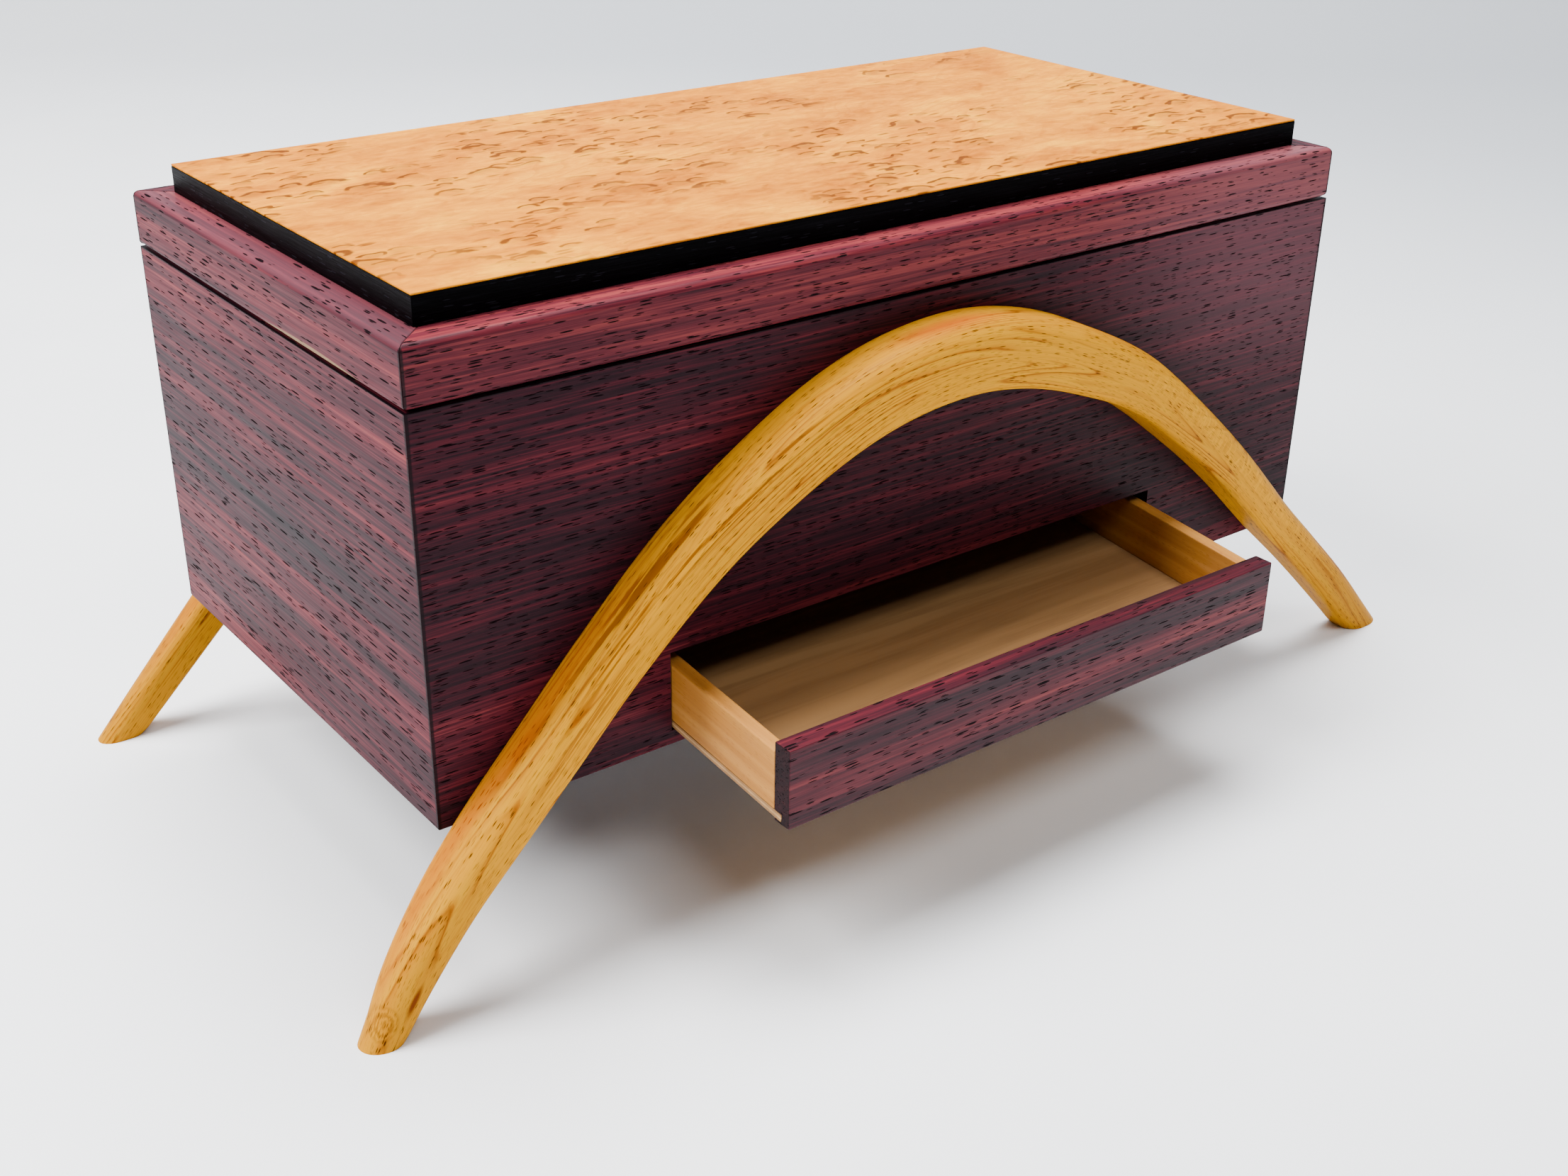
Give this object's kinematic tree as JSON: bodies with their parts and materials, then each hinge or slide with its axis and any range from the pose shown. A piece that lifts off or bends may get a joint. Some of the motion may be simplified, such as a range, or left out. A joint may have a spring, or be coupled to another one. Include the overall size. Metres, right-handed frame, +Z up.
{
  "type": "wooden puzzle box",
  "caption": "Rectangular lidded wooden box standing on two bent wooden arches, with a hinged lid and a slim hidden drawer that springs out of the front panel.",
  "frame": {"origin": "on the table, under the middle of the box body (midway between its long and its short sides)", "axes": "+Z up, +X along the box to the right as the drawer is faced, the drawer opens towards -Y"},
  "size_m": [0.4223, 0.2422, 0.1924],
  "materials": {
    "rosewood": "satin oiled, dark red with black streaks and open pores",
    "black_edging": "satin, near black",
    "golden_wood": "satin oiled, golden yellow with brown growth lines",
    "burl_veneer": "satin, orange tan burl",
    "maple": "plain sanded, pale",
    "plywood": "plain sanded, pale brown",
    "brass": "satin",
    "spring_steel": "bright wire"
  },
  "bodies": {
    "box": {"front_panel": "rosewood", "back_panel": "rosewood", "left_panel": "rosewood", "right_panel": "rosewood", "front_arch": "golden_wood", "rear_arch": "golden_wood", "inner_floor": "maple", "runner_left": "maple", "runner_right": "maple", "drawer_stops": "maple", "front_arch_dowels": "maple", "rear_arch_dowels": "maple", "spring_pegs": "maple", "bottom_panel": "plywood", "pin_bush": "brass", "hinge_leaf_body_left": "brass", "hinge_leaf_body_right": "brass", "hinge_pins": "brass", "hinge_screws_body": "brass", "ejector_springs": "spring_steel"},
    "lid": {"lid_front_rail": "rosewood", "lid_back_rail": "rosewood", "lid_left_rail": "rosewood", "lid_right_rail": "rosewood", "edging_front": "black_edging", "edging_back": "black_edging", "edging_left": "black_edging", "edging_right": "black_edging", "lid_core": "plywood", "burl_veneer": "burl_veneer", "lining_veneer": "maple", "hinge_leaf_lid_left": "brass", "hinge_leaf_lid_right": "brass", "hinge_screws_lid": "brass"},
    "drawer": {"drawer_front": "rosewood", "drawer_side_left": "maple", "drawer_side_right": "maple", "drawer_back": "maple", "drawer_bottom": "plywood"},
    "lock": {"lock_pin": "brass", "lock_knob": "black_edging"}
  },
  "joints": [
    {"name": "lid_hinge", "type": "hinge", "parent": "box", "child": "lid", "pos_m": [0, 0.0874, 0.1673], "axis": [-1, 0, 0], "range_deg": [0, 95]},
    {"name": "drawer_slide", "type": "slide", "parent": "box", "child": "drawer", "axis": [0, -0.9954, -0.0958], "range_m": [-0.054, 0.035], "deforming": ["ejector_springs"]},
    {"name": "lock_pin_slide", "type": "slide", "parent": "box", "child": "lock", "axis": [0, 0, -1], "range_m": [0, 0.012]}
  ]
}
